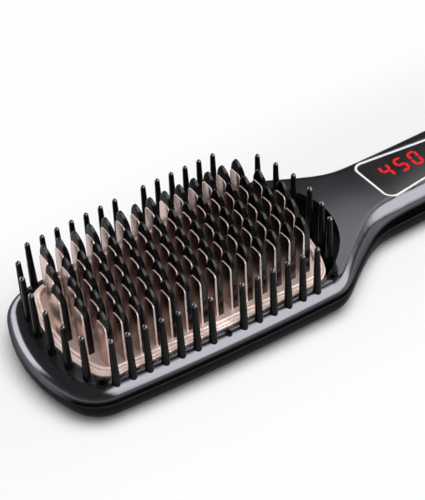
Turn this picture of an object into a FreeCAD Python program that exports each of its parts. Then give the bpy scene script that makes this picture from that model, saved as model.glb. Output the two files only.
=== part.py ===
import FreeCAD, Part
import math
import os

Vec = FreeCAD.Vector

# Hair straightening brush lying on its back, teeth up. Millimetres.
# +X runs from the head to the handle, +Z is up, the origin is on the rest plane
# below the middle of the tooth field.

# Casing
head_half_width = 35.6          # widest place of the head, at the parting plane
rim_side_width = 5.8            # casing edge to the opening, at the widest place
rim_tip_width = 10.4            # tip of the head to the opening
side_radius = 980.0             # the long sides of the head are slightly bowed
tip_end_radius = 60.0
tip_corner_radius = 16.0
seam_height = 11.0              # parting plane of the two casings
seam_lip = 0.5                  # upright strip on both sides of the parting plane
seam_chamfer = 0.3              # broken edge of both casings at the parting plane
rim_height = 17.0
neck_setback = 10.6             # the neck begins at the widest place, this far inside the opening's end
neck_length = 46.0
handle_length = 126.0
handle_half_width = 16.6
handle_top = 20.7
handle_top_corner = 6.0         # width of the handle's rounded upper corner
casing_wall = 2.5
post_sink = 0.6                 # posts and bosses are rooted this deep in the wall
end_wall = 3.0
step_radius = 30.0              # curved step between the rim and the neck
step_offset = 11.9              # the opening's end to the step
neck_wall_offset = 2.0          # the upper casing is solid up to here past the step
overrun = 5.0                   # cuts run past the faces they open
hair_gap = 0.15                 # gap between pieces that are set into each other
screw_gap = 0.15                # gap between a screw's shank and its hole
contact_tolerance = 0.01        # picks edges that lie on a plane

# Stations of the neck: place, share of the head's extra width, share of the rise, each as a share.
neck_shares = [
    (0.000, 1.000, 0.00), (0.065, 1.000, 0.00), (0.150, 0.968, 0.12), (0.260, 0.823, 0.36),
    (0.390, 0.597, 0.60), (0.565, 0.312, 0.80), (0.740, 0.091, 0.93), (0.870, 0.016, 0.98),
]
# Stations of the handle: place, width, height above the seam, depth below the seam, each as a share.
handle_shares = [
    (0.00, 1.00, 1.00, 1.000), (0.15, 0.99, 1.00, 1.000), (0.40, 1.00, 1.00, 0.999),
    (0.65, 0.98, 0.99, 0.995), (0.82, 0.96, 0.98, 0.985), (0.92, 0.93, 0.96, 0.965),
    (0.97, 0.88, 0.93, 0.940), (1.00, 0.80, 0.87, 0.900),
]

# Tooth field
row_count = 5
row_margin = 4.0                # outer teeth to the long edge of the plate
field_end_gap = 0.4             # last fin of the middle row to the end of the plate
tooth_pitch = 6.0
tooth_width = 6.4
tooth_thickness = 2.6
tooth_edge_radius = 0.9         # rounding of the tooth's back
tooth_height = 23.5
tooth_arch_height = 6.6
tooth_tip_radius = 1.2
spigot_length = 5.0
spigot_thickness = 1.8
spigot_depth = 2.0
fin_width = 6.0
fin_thickness = 0.7
fin_height = 18.3
fin_corner_radius = 1.6

# Trim ring and heating plate in the opening of the head
opening_end_radius = 58.0
opening_corner_radius = 9.0
ring_width = 2.8
ring_ledge_height = 0.7         # outer ledge of the trim ring above the rim
ring_bead_height = 2.0          # inner bead of the trim ring above the rim
ring_bead_width = 1.5
ring_edge_radius = 0.45
plate_thickness = 3.5

# Guard pins and ion outlets
pin_inset = 3.6                 # casing edge to the line of side pins
pin_height = 19.5
pin_base_radius = 1.45
pin_tip_radius = 0.95
pin_root_depth = 4.0
pin_root_radius = 1.3
pin_gap = 0.05
side_pin_end_gap = 6.0          # the opening's end to the room for side pins
end_pin_offset = 2.4            # the opening's end to the arc of end pins
end_pin_radius = 60.0
end_pin_inset = 4.8             # casing edge to the ends of that arc
end_pin_shares = (0.16, 0.45, 0.71)
outlet_radius = 2.0
outlet_bore_radius = 1.1
outlet_depth = 4.0
outlet_bore_depth = 3.0
outlet_gap = 0.6                # the opening's corner to an outlet
outlet_turn_shares = ((-1, 0.57), (1, 0.61))    # end of the head, turn from the side to the end
vent_radius = 1.2
vent_bore_radius = 0.6

# Heating stack below the plate
heater_length = 74.0
heater_thickness = 1.8
heater_end_gap = 0.4            # heaters to the heads of the carrier screws
heater_side_edge = 3.0          # the clamp stands out this far beside the heaters
heater_middle_gap = 4.0         # half of the strip between the heaters
clamp_side_gap = 4.7            # clamp to the carrier's wall
clamp_thickness = 1.2
clamp_window_length = 16.0
clamp_window_width = 3.0
insulation_thickness = 1.0
carrier_floor = 2.0
carrier_ledge = 3.0
carrier_ring_step = 0.5         # trim ring seat above the plate's seat
carrier_screw_setback = 11.0    # the opening's end to the carrier screws
carrier_screw_y = 9.0
carrier_post_radius = 4.0
carrier_screw_head_radius = 2.2
carrier_screw_head_height = 1.6
carrier_screw_radius = 1.2
carrier_screw_length = 5.5
thermistor_length = 7.0
thermistor_width = 2.6
fuse_length = 11.0
fuse_radius = 0.85
sensor_setback = 21.0           # end of the heaters to the sensors between them

# Display panel, buttons and electronics
panel_setback = 1.2             # the panel starts this far before the handle
panel_wide_share = 0.675        # of the handle's half width, at the head end
panel_narrow_share = 0.265      # of the handle's half width, at the other end
panel_corner = 3.2
panel_drop = 0.5                # panel plane below the handle's top
frame_line = 1.0
frame_proud = 0.15
window_thickness = 0.9
screen_inset = 4.0              # panel's end to the screen
screen_length = 24.0
screen_half_width = 6.0
button_lead = 8.0               # screen to the first button's axis
button_end_gap = 6.0            # last button's axis to the panel's end
button_radius = 3.2
button_spacing = 1.0            # between the flanges of two buttons
button_proud = 0.5
button_edge_radius = 0.4
button_gap = 0.3
button_flange = 0.9
button_flange_height = 0.8
button_travel = 0.6
button_stem_radius = 1.5
button_stem_length = 0.8
board_inset = 2.0               # panel's end to the circuit board's end
board_length = 66.0
board_side_gap = 6.0            # handle edge to the board
board_thickness = 1.6
board_post_radius = 2.0
board_post_inset = 5.0
switch_size = 6.0
switch_height = 3.5
switch_plunger_radius = 1.6
switch_plunger_height = 0.5
ion_box_inset = 12.0            # board's end to the ion generator below it
ion_box_length = 30.0
ion_box_side_gap = 0.5          # ion generator to the rounding of the lower casing
ion_box_gap = 0.6               # ion generator to the board above it
lead_radius = 1.0
heater_lead_y = 4.0
heater_lead_overlap = 7.0       # leads reach this far along the board
supply_lead_inset = 3.0         # board's edge to the supply leads
supply_lead_overlap = 13.0

# Cord swivel and fasteners
swivel_bore_radius = 3.1
swivel_wall = 1.2
swivel_flange_lip = 1.0
swivel_flange_length = 2.5
swivel_shoulder_lip = 2.5
swivel_nose_lip = 0.9
swivel_nose_length = 12.0
swivel_gap = 0.05
swivel_end_gap = 0.3
contact_length = 8.0
contact_side_gap = 8.0          # handle edge to the contact block
contact_rise = 5.0              # contact block above the parting plane
neck_screw_offset = 30.0        # start of the neck to its screws
neck_screw_y = 9.5
handle_screw_gap = 2.5          # contact block to the boss of the handle's screw
screw_boss_radius = 3.4
screw_radius = 1.4
screw_head_radius = 2.6
screw_head_height = 2.0
screw_recess = 1.2
screw_bite = 5.0

# Places along X, from the heating stack out to the head and on to the handle's end
carrier_screw_x = heater_length / 2 + heater_end_gap + carrier_screw_head_radius
opening_reach = carrier_screw_x + carrier_screw_setback
head_tip_reach = opening_reach + rim_tip_width
end_pin_reach = opening_reach + end_pin_offset
step_reach = opening_reach + step_offset
neck_start = opening_reach - neck_setback
neck_wall_start = step_reach + neck_wall_offset
neck_screw_x = neck_start + neck_screw_offset
handle_start = neck_start + neck_length
handle_end = handle_start + handle_length
panel_start = handle_start - panel_setback
screen_start = panel_start + screen_inset
button_first = screen_start + screen_length + button_lead
button_step = 2 * (button_radius + button_flange) + button_spacing
panel_end = button_first + 2 * button_step + button_end_gap
board_start = panel_start + board_inset
board_end = board_start + board_length
ion_box_start = board_start + ion_box_inset
contact_end = handle_end - end_wall - swivel_flange_length - 2 * swivel_end_gap
contact_start = contact_end - contact_length
handle_screw_x = contact_start - handle_screw_gap - screw_boss_radius
sensor_offset = heater_length / 2 - sensor_setback

# Half widths
opening_half_width = head_half_width - rim_side_width
end_pin_half_width = head_half_width - end_pin_inset
plate_inset = 2 * hair_gap + ring_width
plate_reach = opening_reach - plate_inset
plate_half_width = opening_half_width - plate_inset
tray_inset = plate_inset + carrier_ledge
clamp_half_width = opening_half_width - tray_inset - clamp_side_gap
heater_width = clamp_half_width - heater_side_edge - heater_middle_gap
heater_offset = heater_middle_gap + heater_width / 2
row_step = (plate_half_width - row_margin - tooth_width / 2) / ((row_count - 1) / 2)
panel_wide = handle_half_width * panel_wide_share
panel_narrow = handle_half_width * panel_narrow_share
board_half_width = handle_half_width - board_side_gap
contact_half_width = handle_half_width - contact_side_gap
ion_box_half_width = handle_half_width - seam_height + seam_lip - ion_box_side_gap
supply_lead_y = board_half_width - supply_lead_inset
swivel_neck_radius = swivel_bore_radius + swivel_wall
swivel_flange_radius = swivel_neck_radius + swivel_flange_lip
swivel_shoulder_radius = swivel_neck_radius + swivel_shoulder_lip
swivel_nose_radius = swivel_neck_radius + swivel_nose_lip

# Heights
lower_corner = seam_height - seam_lip
rim_corner = rim_height - seam_height - seam_lip
panel_plane = handle_top - panel_drop
plate_bottom = rim_height - plate_thickness
heater_bottom = plate_bottom - heater_thickness
clamp_bottom = heater_bottom - clamp_thickness
insulation_bottom = clamp_bottom - insulation_thickness
carrier_bottom = insulation_bottom - carrier_floor
inner_top = handle_top - casing_wall
flange_bottom = inner_top - button_gap - button_flange_height
stem_bottom = flange_bottom - button_stem_length
plunger_top = stem_bottom - button_travel - button_gap
board_top = plunger_top - switch_plunger_height - switch_height
board_height = board_top - board_thickness

# Counts
field_reach = plate_reach - field_end_gap - tooth_thickness / 2 - fin_thickness
middle_row_count = int(2 * field_reach / tooth_pitch) + 1
side_pin_count = int((opening_reach - side_pin_end_gap) / tooth_pitch)


def box(x0, x1, y0, y1, z0, z1):
    return Part.makeBox(x1 - x0, y1 - y0, z1 - z0, Vec(x0, y0, z0))


def centred_box(x0, x1, half_width, z0, z1):
    return box(x0, x1, -half_width, half_width, z0, z1)


def rod(radius, x, y, z0, z1):
    return Part.makeCylinder(radius, z1 - z0, Vec(x, y, z0))


def export(name, *shapes):
    solids = [solid for shape in shapes for solid in shape.Solids]
    node = solids[0] if len(solids) == 1 else Part.makeCompound(solids)
    node.exportStep("parts/" + name + ".step")


# Outlines of the head: two end arcs, bowed sides and corner arcs that are tangent to both.


def crossing(centre_a, radius_a, centre_b, radius_b, sign):
    """The crossing of two circles that lies furthest along X, or along -X where sign is -1."""
    across = centre_b - centre_a
    span = across.Length
    along = (span ** 2 + radius_a ** 2 - radius_b ** 2) / (2 * span)
    height = math.sqrt(radius_a ** 2 - along ** 2)
    unit = across / span
    foot = centre_a + unit * along
    normal = Vec(-unit.y, unit.x, 0)
    return max(foot + normal * height, foot - normal * height, key=lambda point: sign * point.x)


def end_points(reach, half_width, end_radius, corner_radius, sign):
    """Arc points of one rounded end, from the end's middle to the bowed side, and the corner's centre."""
    end_centre = Vec(sign * (reach - end_radius), 0, 0)
    bow_radius = side_radius - head_half_width + half_width
    bow_centre = Vec(neck_start, half_width - bow_radius, 0)
    corner = crossing(end_centre, end_radius - corner_radius, bow_centre, bow_radius - corner_radius, sign)
    on_end = end_centre + (corner - end_centre).normalize() * end_radius
    on_side = bow_centre + (corner - bow_centre).normalize() * bow_radius
    middle = corner + ((on_end - corner) + (on_side - corner)).normalize() * corner_radius
    return Vec(sign * reach, 0, 0), on_end, middle, on_side, corner


def flipped(point):
    return Vec(point.x, -point.y, point.z)


def bow_middle(start, end, half_width):
    """A point of the bowed side between two of its points."""
    bow_radius = side_radius - head_half_width + half_width
    bow_centre = Vec(neck_start, half_width - bow_radius, 0)
    return bow_centre + ((start + end) / 2 - bow_centre).normalize() * bow_radius


def arc(start, middle, end):
    return Part.Arc(start, middle, end).toShape()


def line(start, end):
    return Part.LineSegment(start, end).toShape()


def lifted_face(edges, z):
    face = Part.Face(Part.Wire(Part.__sortEdges__(edges)))
    face.translate(Vec(0, 0, z))
    return face


def head_face(inset, z):
    """The head's outline from its tip to the start of the neck."""
    half_width = head_half_width - inset
    tip, on_end, middle, on_side, corner = end_points(
        head_tip_reach - inset, half_width, tip_end_radius - inset, tip_corner_radius - inset, -1)
    root = Vec(neck_start, half_width, 0)
    bowed = bow_middle(on_side, root, half_width)
    edges = [arc(flipped(on_end), tip, on_end), line(root, flipped(root))]
    for turn in (lambda point: point, flipped):
        edges.append(arc(turn(on_end), turn(middle), turn(on_side)))
        edges.append(arc(turn(on_side), turn(bowed), turn(root)))
    return lifted_face(edges, z)


def opening_end(inset, sign):
    return end_points(opening_reach - inset, opening_half_width - inset, opening_end_radius - inset,
                      opening_corner_radius - inset, sign)


def opening_face(inset, z):
    """The outline of the opening round the tooth field, or a parallel outline inside it."""
    near = opening_end(inset, -1)
    far = opening_end(inset, 1)
    bowed = bow_middle(near[3], far[3], opening_half_width - inset)
    edges = []
    for tip, on_end, middle, on_side, corner in (near, far):
        edges.append(arc(flipped(on_end), tip, on_end))
        edges.append(arc(on_end, middle, on_side))
        edges.append(arc(flipped(on_end), flipped(middle), flipped(on_side)))
    edges.append(arc(near[3], bowed, far[3]))
    edges.append(arc(flipped(near[3]), flipped(bowed), flipped(far[3])))
    return lifted_face(edges, z)


def opening_block(inset, z0, z1):
    return opening_face(inset, z0).extrude(Vec(0, 0, z1 - z0))


def opening_ring(outer_inset, inner_inset, z0, z1):
    return opening_block(outer_inset, z0, z1).cut(opening_block(inner_inset, z0 - overrun, z1 + overrun))


# Casing bodies: a filleted block for the head and lofts for the neck and handle.


def edges_at(solid, z):
    """Edges of a head block at height z, without the one across the neck."""
    chosen = []
    for edge in solid.Edges:
        bounds = edge.BoundBox
        level = abs(bounds.ZMin - z) < contact_tolerance and abs(bounds.ZMax - z) < contact_tolerance
        if level and bounds.XMin < neck_start - contact_tolerance:
            chosen.append(edge)
    return chosen


def head_block(inset, bottom, top, radius, rounded_at):
    block = head_face(inset, bottom).extrude(Vec(0, 0, top - bottom))
    return block.makeFillet(radius, edges_at(block, rounded_at))


def quarter(start, corner, end):
    """A quarter of an ellipse that leaves start and reaches end along the lines through corner."""
    curve = Part.BezierCurve()
    curve.setPoles([start, corner, end])
    curve.setWeight(2, math.sqrt(1 / 2))
    return curve.toShape()


def section(x, half_width, level, corner_y, corner_z, up, lip):
    """A closed half section: seam with broken edges, upright lips, rounded corners and a flat at level."""
    shoulder = level - up * corner_z
    seam = seam_height - up * lip
    foot = seam + up * seam_chamfer
    flat = half_width - corner_y
    narrow = half_width - seam_chamfer
    points = [Vec(x, -narrow, seam), Vec(x, narrow, seam), Vec(x, half_width, foot)]
    points.append(Vec(x, half_width, shoulder))
    edges = [line(start, end) for start, end in zip(points, points[1:])]
    edges.append(quarter(points[-1], Vec(x, half_width, level), Vec(x, flat, level)))
    edges.append(line(Vec(x, flat, level), Vec(x, -flat, level)))
    edges.append(quarter(Vec(x, -flat, level), Vec(x, -half_width, level), flipped(points[-1])))
    edges.append(line(flipped(points[3]), flipped(points[2])))
    edges.append(line(flipped(points[2]), points[0]))
    return Part.Wire(edges)


def stations(stop):
    """Place, half width, share of the rise, share of the depth along the neck and the handle."""
    found = []
    for place_share, width_share, rise_share in neck_shares:
        half_width = handle_half_width + (head_half_width - handle_half_width) * width_share
        found.append((neck_start + neck_length * place_share, half_width, rise_share, 1.0, 1.0))
    for place_share, width_share, height_share, depth_share in handle_shares:
        place = handle_start + (stop - handle_start) * place_share
        found.append((place, handle_half_width * width_share, 1.0, height_share, depth_share))
    return found


def upper_body(inset, stop, lip):
    """The neck and handle above the seam, made smaller by inset all round."""
    wires = []
    for x, half_width, rise_share, height_share, depth_share in stations(stop):
        full = rim_height + (handle_top - rim_height) * rise_share - seam_height
        corner_y = rim_corner + (handle_top_corner - rim_corner) * rise_share
        level = seam_height + full * height_share - inset
        corner_z = level - seam_height - seam_lip
        wires.append(section(x, half_width - inset, level, corner_y - inset, corner_z, 1, lip))
    return Part.makeLoft(wires, True, False)


def lower_body(inset, stop, lip):
    """The neck and handle below the seam, made smaller by inset all round."""
    wires = []
    for x, half_width, rise_share, height_share, depth_share in stations(stop):
        level = seam_height * (1 - depth_share) + inset
        corner_z = (lower_corner - inset) * depth_share
        wires.append(section(x, half_width - inset, level, lower_corner - inset, corner_z, -1, lip))
    return Part.makeLoft(wires, True, False)


def side_line(x, inset):
    """Half width of the head at x, inset from the casing's edge."""
    radius = side_radius - inset
    return head_half_width - side_radius + math.sqrt(radius ** 2 - (x - neck_start) ** 2)


def pin_places():
    places = []
    for step in range(-side_pin_count, side_pin_count):
        if step != 0:
            x = tooth_pitch * step
            places.append((x, side_line(x, pin_inset)))
    for share in end_pin_shares:
        y = end_pin_half_width * share
        reach = end_pin_reach - end_pin_radius + math.sqrt(end_pin_radius ** 2 - y ** 2)
        places += [(-reach, y), (reach, y)]
    return places + [(x, -y) for x, y in places]


def outlet_places():
    """Places beside the four corners of the opening."""
    places = []
    for sign, turn_share in outlet_turn_shares:
        tip, on_end, middle, on_side, corner = opening_end(0, sign)
        towards = (on_side - corner) * (1 - turn_share) + (on_end - corner) * turn_share
        place = corner + towards.normalize() * (opening_corner_radius + outlet_gap + outlet_radius)
        places += [(place.x, place.y), (place.x, -place.y)]
    return places


def vent_places():
    y = side_line(0, pin_inset)
    return [(0, y), (0, -y)]


def button_places():
    return [button_first + button_step * index for index in range(3)]


def screw_places():
    neck = [(neck_screw_x, side * neck_screw_y) for side in (1, -1)]
    return neck + [(handle_screw_x, 0)]


def carrier_screw_places():
    return [(x * carrier_screw_x, y * carrier_screw_y) for x in (1, -1) for y in (1, -1)]


def panel_face(inset, z):
    """The tapering panel outline with rounded corners, or a parallel outline inside it."""
    slope = (panel_wide - panel_narrow) / (panel_end - panel_start)
    side_shift = inset * math.sqrt(1 + slope ** 2)
    x0 = panel_start + inset
    x1 = panel_end - inset
    y0 = panel_wide - slope * inset - side_shift
    y1 = panel_narrow + slope * inset - side_shift
    corners = [Vec(x0, -y0, z), Vec(x1, -y1, z), Vec(x1, y1, z), Vec(x0, y0, z)]
    block = Part.Face(Part.makePolygon(corners + corners[:1])).extrude(Vec(0, 0, overrun))
    upright = [edge for edge in block.Edges if edge.BoundBox.ZLength > contact_tolerance
               and edge.BoundBox.XLength < contact_tolerance]
    rounded = block.makeFillet(panel_corner - inset, upright)
    return min(rounded.Faces, key=lambda face: face.CenterOfMass.z)


def panel_block(inset, z0, z1):
    return panel_face(inset, z0).extrude(Vec(0, 0, z1 - z0))


def make_upper_casing():
    head = head_block(0, seam_height, rim_height, rim_corner, rim_height)
    head = head.makeChamfer(seam_chamfer, edges_at(head, seam_height))
    outer = head.fuse(upper_body(0, handle_end, 0)).removeSplitter()
    step = rod(step_radius, step_reach - step_radius, 0, rim_height, handle_top + overrun)
    hollow = upper_body(casing_wall, handle_end - end_wall, overrun)
    hollow = hollow.cut(centred_box(neck_start - overrun, neck_wall_start, head_half_width, 0, handle_top))
    shell = outer.cut(step).cut(hollow).cut(opening_block(0, 0, handle_top))
    shell = shell.fuse([rod(screw_boss_radius, x, y, seam_height, inner_top) for x, y in screw_places()])
    cuts = [rod(pin_root_radius + pin_gap, x, y, rim_height - pin_root_depth, handle_top)
            for x, y in pin_places()]
    cuts += [rod(outlet_radius + pin_gap, x, y, rim_height - outlet_depth, handle_top)
             for x, y in outlet_places()]
    cuts += [rod(vent_radius + pin_gap, x, y, rim_height - outlet_depth, handle_top)
             for x, y in vent_places()]
    cuts += [rod(screw_radius + screw_gap, x, y, 0, seam_height + screw_bite + screw_gap)
             for x, y in screw_places()]
    cuts.append(panel_block(-frame_line - hair_gap, panel_plane, handle_top + overrun))
    cuts.append(panel_block(-hair_gap, panel_plane - window_thickness, handle_top))
    screen_end = screen_start + screen_length
    cuts.append(centred_box(screen_start, screen_end, screen_half_width, inner_top - overrun, handle_top))
    cuts += [rod(button_radius + button_gap, x, 0, inner_top - overrun, handle_top) for x in button_places()]
    cuts.append(swivel_hole())
    return shell.cut(cuts)


def swivel_hole():
    start = Vec(handle_end - end_wall - overrun, 0, seam_height)
    return Part.makeCylinder(swivel_neck_radius + swivel_gap, end_wall + 2 * overrun, start, Vec(1, 0, 0))


def make_lower_casing():
    head = head_block(0, 0, seam_height, lower_corner, 0)
    head = head.makeChamfer(seam_chamfer, edges_at(head, seam_height))
    outer = head.fuse(lower_body(0, handle_end, 0)).removeSplitter()
    hollow_head = head_block(casing_wall, casing_wall, rim_height, lower_corner - casing_wall, casing_wall)
    shell = outer.cut(hollow_head).cut(lower_body(casing_wall, handle_end - end_wall, overrun))
    foot = casing_wall - post_sink
    posts = [rod(carrier_post_radius, x, y, foot, carrier_bottom) for x, y in carrier_screw_places()]
    posts += [rod(board_post_radius, x, y, foot, board_height) for x, y in board_posts()]
    posts += [rod(screw_boss_radius, x, y, foot, seam_height) for x, y in screw_places()]
    shell = shell.fuse(posts)
    cuts = [rod(screw_radius + screw_gap, x, y, 0, seam_height + overrun) for x, y in screw_places()]
    cuts += [rod(screw_head_radius + hair_gap, x, y, -overrun, screw_recess + screw_head_height)
             for x, y in screw_places()]
    cuts += [rod(carrier_screw_radius + screw_gap, x, y, carrier_bottom - carrier_screw_length,
                 carrier_bottom + overrun) for x, y in carrier_screw_places()]
    cuts.append(swivel_hole())
    return shell.cut(cuts)


def board_posts():
    xs = (board_start + board_post_inset, board_end - board_post_inset)
    y = board_half_width - board_post_radius
    return [(x, side * y) for x in xs for side in (1, -1)]


def make_trim_ring():
    seat = plate_bottom + carrier_ring_step
    ledge = opening_ring(hair_gap, hair_gap + ring_width, seat, rim_height + ring_ledge_height)
    bead_inset = hair_gap + ring_width - ring_bead_width
    bead = opening_ring(bead_inset, hair_gap + ring_width, seat, rim_height + ring_bead_height)
    ring = ledge.fuse(bead).removeSplitter()
    top_edges = []
    for level in (ring_ledge_height, ring_bead_height):
        for edge in ring.Edges:
            bounds = edge.BoundBox
            at_level = abs(bounds.ZMin - rim_height - level) < contact_tolerance
            if at_level and bounds.ZLength < contact_tolerance:
                top_edges.append(edge)
    top_edges = [edge for edge in top_edges if not on_outline(edge, bead_inset, ring_ledge_height)]
    return ring.makeFillet(ring_edge_radius, top_edges)


def on_outline(edge, inset, level):
    """Whether an edge lies on the parallel outline at that height above the rim."""
    outline = opening_face(inset, rim_height + level).OuterWire
    return outline.distToShape(Part.Vertex(edge.valueAt(edge.FirstParameter)))[0] < contact_tolerance


def tooth_rows():
    """Rows of tooth places, each staggered by half a pitch against the next."""
    middle = (row_count - 1) / 2
    rows = []
    for index in range(row_count):
        count = middle_row_count - int(abs(index - middle))
        y = (index - middle) * row_step
        rows.append([(tooth_pitch * (place - (count - 1) / 2), y) for place in range(count)])
    return rows


def make_heat_plate():
    plate = opening_block(plate_inset, plate_bottom, rim_height)
    slots = []
    for row in tooth_rows():
        for x, y in row:
            half_x = spigot_thickness / 2 + pin_gap
            half_y = spigot_length / 2 + pin_gap
            slots.append(box(x - half_x, x + half_x, y - half_y, y + half_y, rim_height - spigot_depth,
                             rim_height + overrun))
    return plate.cut(slots)


def arch_face(width, height, arch, x):
    """An arch in the plane at x: upright sides, two arcs that lean together and a small round tip."""
    half = width / 2
    shoulder = height - arch
    tip_z = height - tooth_tip_radius
    rise = tip_z - shoulder
    radius = (half ** 2 + rise ** 2 - tooth_tip_radius ** 2) / (2 * (half - tooth_tip_radius))
    sweep = math.atan2(rise, radius - half)
    turn = Vec(x, math.cos(sweep), math.sin(sweep)) - Vec(x, 0, 0)
    half_turn = Vec(0, math.cos(sweep / 2), math.sin(sweep / 2))
    foot = Vec(x, half, 0)
    spring = Vec(x, half, shoulder)
    lean = Vec(x, half - radius, shoulder) + half_turn * radius
    meet = Vec(x, 0, tip_z) + turn * tooth_tip_radius
    edges = [line(foot, spring), arc(spring, lean, meet), arc(meet, Vec(x, 0, height), flipped(meet))]
    edges += [arc(flipped(meet), flipped(lean), flipped(spring)), line(flipped(spring), flipped(foot))]
    edges.append(line(flipped(foot), foot))
    return Part.Face(Part.Wire(edges))


def make_tooth():
    """One nylon tooth at the origin: flat at the fin side, rounded on the other, with a spigot below."""
    half = tooth_thickness / 2
    leaf = arch_face(tooth_width, tooth_height, tooth_arch_height, -half).extrude(Vec(tooth_thickness, 0, 0))
    back = [edge for edge in leaf.Edges if edge.BoundBox.XMin > half - contact_tolerance
            and edge.BoundBox.ZMax > contact_tolerance]
    spigot = box(-spigot_thickness / 2, spigot_thickness / 2, -spigot_length / 2, spigot_length / 2,
                 -spigot_depth, 0)
    return leaf.makeFillet(tooth_edge_radius, back).fuse(spigot)


def make_fin():
    """One heat fin at the origin of its tooth, standing on the plate against the tooth's flat side."""
    back = -tooth_thickness / 2
    fin = box(back - fin_thickness, back, -fin_width / 2, fin_width / 2, 0, fin_height)
    shoulders = []
    for edge in fin.Edges:
        bounds = edge.BoundBox
        if bounds.ZMin > 0 and max(bounds.YLength, bounds.ZLength) < contact_tolerance:
            shoulders.append(edge)
    return fin.makeFillet(fin_corner_radius, shoulders)


def copies(shape, places, z):
    """Copies of a shape at the places given, at height z."""
    made = []
    for x, y in places:
        copy = shape.copy()
        copy.translate(Vec(x, y, z))
        made.append(copy)
    return made


def revolved(points):
    """A solid of revolution about Z from (radius, height) points, with straight sides."""
    outline = [Vec(radius, 0, height) for radius, height in points]
    face = Part.Face(Part.makePolygon(outline + outline[:1]))
    return face.revolve(Vec(0, 0, 0), Vec(0, 0, 1), 360)


def make_pin():
    """One guard pin at the rim: a root in its socket, a tapering shaft and a round tip."""
    neck = pin_height - pin_tip_radius
    root = Part.makeCylinder(pin_root_radius, pin_root_depth, Vec(0, 0, -pin_root_depth))
    shaft = Part.makeCone(pin_base_radius, pin_tip_radius, neck)
    tip = Part.makeSphere(pin_tip_radius, Vec(0, 0, neck), Vec(0, 0, 1), 0, 90, 360)
    return root.fuse([shaft, tip]).removeSplitter()


def make_outlet(radius, bore_radius):
    insert = Part.makeCylinder(radius, outlet_depth, Vec(0, 0, -outlet_depth))
    return insert.cut(Part.makeCylinder(bore_radius, outlet_depth, Vec(0, 0, -outlet_bore_depth)))


def make_carrier():
    seat = plate_bottom + carrier_ring_step
    tray = opening_block(2 * hair_gap, carrier_bottom, seat)
    tray = tray.cut(opening_block(plate_inset - hair_gap, plate_bottom, seat + overrun))
    tray = tray.cut(opening_block(tray_inset, insulation_bottom, seat + overrun))
    holes = [rod(carrier_screw_radius + screw_gap, x, y, carrier_bottom - overrun, seat)
             for x, y in carrier_screw_places()]
    return tray.cut(holes)


def make_carrier_screw():
    head = Part.makeCylinder(carrier_screw_head_radius, carrier_screw_head_height)
    shank = Part.makeCylinder(carrier_screw_radius, carrier_screw_length, Vec(0, 0, -carrier_screw_length))
    return head.fuse(shank)


def make_clamp():
    """The plate that presses the heaters up, with a window between the two sensors."""
    clamp = centred_box(-heater_length / 2, heater_length / 2, clamp_half_width, clamp_bottom, heater_bottom)
    window = centred_box(-clamp_window_length / 2, clamp_window_length / 2, clamp_window_width / 2,
                         clamp_bottom - overrun, heater_bottom + overrun)
    return clamp.cut(window)


def make_button(x):
    """A push button with its retaining flange and the stem above its switch."""
    cap_top = panel_plane + button_proud
    cap = rod(button_radius, x, 0, flange_bottom, cap_top)
    top_edge = [edge for edge in cap.Edges if edge.BoundBox.ZMin > cap_top - contact_tolerance]
    cap = cap.makeFillet(button_edge_radius, top_edge)
    flange = rod(button_radius + button_flange, x, 0, flange_bottom, inner_top - button_gap)
    stem = rod(button_stem_radius, x, 0, stem_bottom, flange_bottom)
    return cap.fuse([flange, stem]).removeSplitter()


def make_window():
    window = panel_block(0, panel_plane - window_thickness, panel_plane)
    return window.cut([rod(button_radius + button_gap, x, 0, inner_top, handle_top) for x in button_places()])


def make_frame():
    outer = panel_block(-frame_line, panel_plane, panel_plane + frame_proud)
    return outer.cut(panel_block(0, panel_plane - overrun, handle_top + overrun))


def make_switch(x):
    half = switch_size / 2
    body = box(x - half, x + half, -half, half, board_top, board_top + switch_height)
    plunger = rod(switch_plunger_radius, x, 0, board_top + switch_height, plunger_top)
    return body.fuse(plunger)


def lead(x0, x1, y, z):
    return Part.makeCylinder(lead_radius, x1 - x0, Vec(x0, y, z), Vec(1, 0, 0))


def make_contact_block():
    """The block that carries the swivel's sliding contacts, between the swivel and the leads."""
    block = centred_box(contact_start, contact_end, contact_half_width, 0, seam_height + contact_rise)
    return block.common(lower_body(casing_wall, handle_end - end_wall, contact_rise))


def make_swivel():
    """The turning cord collar: an inner flange, a neck through the end wall and a tapered nose."""
    flange_end = -end_wall - swivel_end_gap
    points = [
        (swivel_bore_radius, flange_end - swivel_flange_length),
        (swivel_flange_radius, flange_end - swivel_flange_length),
        (swivel_flange_radius, flange_end),
        (swivel_neck_radius, flange_end),
        (swivel_neck_radius, swivel_end_gap),
        (swivel_shoulder_radius, swivel_end_gap),
        (swivel_nose_radius, swivel_nose_length),
        (swivel_bore_radius, swivel_nose_length),
    ]
    collar = revolved(points)
    collar.rotate(Vec(0, 0, 0), Vec(0, 1, 0), 90)
    collar.translate(Vec(handle_end, 0, seam_height))
    return collar


def make_case_screw():
    head = Part.makeCylinder(screw_head_radius, screw_head_height, Vec(0, 0, screw_recess))
    start = screw_recess + screw_head_height
    shank = Part.makeCylinder(screw_radius, seam_height + screw_bite - start, Vec(0, 0, start))
    return head.fuse(shank)


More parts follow.
